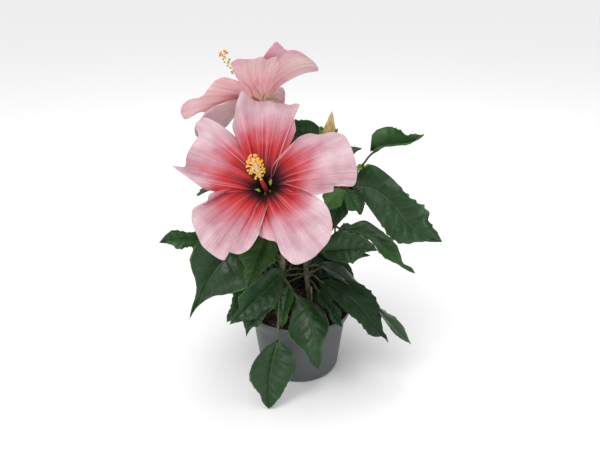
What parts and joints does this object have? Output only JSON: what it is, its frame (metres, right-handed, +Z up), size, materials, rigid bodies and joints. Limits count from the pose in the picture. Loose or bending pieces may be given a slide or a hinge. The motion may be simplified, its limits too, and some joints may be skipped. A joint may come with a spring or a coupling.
{
  "type": "potted hibiscus shrub",
  "caption": "Small hibiscus shrub in flower in a tapering round plastic pot, with wide open pink blooms, a bud and dark green toothed leaves.",
  "frame": {"origin": "centre of the pot's flat underside", "axes": "+Z up, +X to the right and +Y away as seen from the front, the side that the large bloom faces"},
  "size_m": [0.2669, 0.2299, 0.3182],
  "materials": {
    "pot": "satin dark grey moulded plastic",
    "soil": "matt crumbly potting soil",
    "trunk": "matt grey-brown bark",
    "bough": "matt purple-brown young bark",
    "foliage": "glossy dark green leaf",
    "young_foliage": "glossy young green leaf",
    "petal_pink": "soft petal, pale pink rim to crimson eye",
    "petal_peach": "soft petal, pink and peach",
    "column": "red column with yellow anthers",
    "calyx": "matt green",
    "bud": "furled yellow-brown petals"
  },
  "bodies": {
    "root": {"pot": "pot", "soil": "soil", "trunk_left": "trunk", "trunk_right": "trunk", "bough_right": "bough", "bough_shoot": "bough", "bough_bud": "bough", "bough_back_bloom": "bough", "bough_front_bloom": "bough", "leaves_low_left": "foliage", "leaves_left": "foliage", "leaves_low_right": "foliage", "leaves_right": "foliage", "leaves_upper_right": "foliage", "leaves_shoot": "young_foliage", "leaves_behind_bud": "foliage", "leaves_back_low": "foliage", "leaves_back_left": "foliage", "leaves_back_right": "foliage", "leaves_back_bough": "foliage", "leaves_back_top": "foliage", "bloom_front_petals": "petal_pink", "bloom_front_column": "column", "bloom_front_calyx": "calyx", "bloom_back_petals": "petal_peach", "bloom_back_column": "column", "bloom_back_calyx": "calyx", "bud_petals": "bud", "bud_cup": "calyx"}
  },
  "joints": []
}
